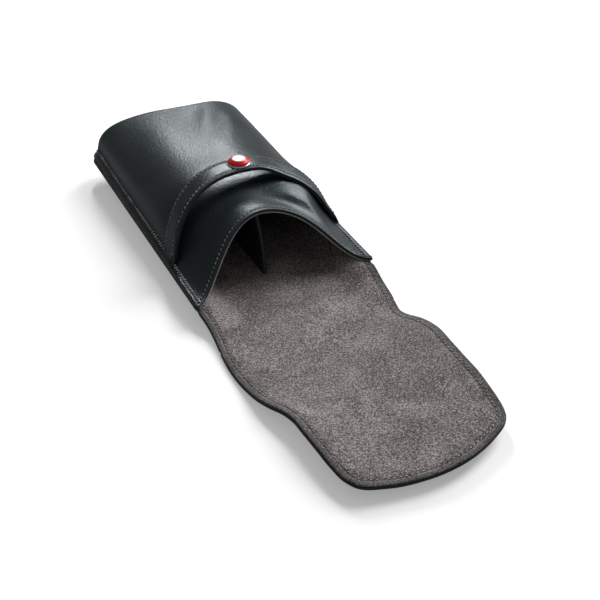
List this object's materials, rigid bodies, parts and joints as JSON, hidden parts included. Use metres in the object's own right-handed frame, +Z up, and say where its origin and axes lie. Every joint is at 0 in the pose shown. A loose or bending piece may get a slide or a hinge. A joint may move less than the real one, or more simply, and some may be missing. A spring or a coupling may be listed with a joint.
{
  "type": "leather pen case",
  "caption": "Soft leather pen case lying on its back: moulded pouch with a divider, a fixed strap with an ornamental stud, and a long flap that folds over.",
  "frame": {"origin": "middle of the pouch's flat underside, at the table", "axes": "+X across the case, to the right of someone who looks from the mouth to the closed end; +Y along the pouch from the mouth to the closed end; +Z up from the table"},
  "size_m": [0.0782, 0.248, 0.0413],
  "materials": {
    "black_leather": "smooth, satin",
    "suede_lining": "napped, matte",
    "divider_leather": "smooth, matte",
    "bezel": "polished",
    "ring_enamel": "gloss",
    "disc_resin": "gloss",
    "rivet_steel": "satin"
  },
  "bodies": {
    "pouch": {"back_panel": "black_leather", "back_lining": "suede_lining", "front_shell": "black_leather", "shell_lining": "suede_lining", "divider": "divider_leather", "strap": "black_leather", "strap_lining": "divider_leather", "stud_base": "bezel", "stud_ring": "ring_enamel", "stud_disc": "disc_resin", "rivet_post": "rivet_steel", "rivet_washer": "rivet_steel"},
    "flap_neck": {"flap_neck": "black_leather", "neck_lining": "suede_lining"},
    "flap_tongue": {"flap_tongue": "black_leather", "tongue_lining": "suede_lining"}
  },
  "joints": [
    {"name": "mouth_fold", "type": "hinge", "parent": "pouch", "child": "flap_neck", "pos_m": [0, -0.0665, 0.0088], "axis": [-1, 0, 0], "range_deg": [0, 95]},
    {"name": "tongue_fold", "type": "hinge", "parent": "flap_neck", "child": "flap_tongue", "pos_m": [0, -0.1045, 0.003], "axis": [-1, 0, 0], "range_deg": [0, 88]}
  ]
}
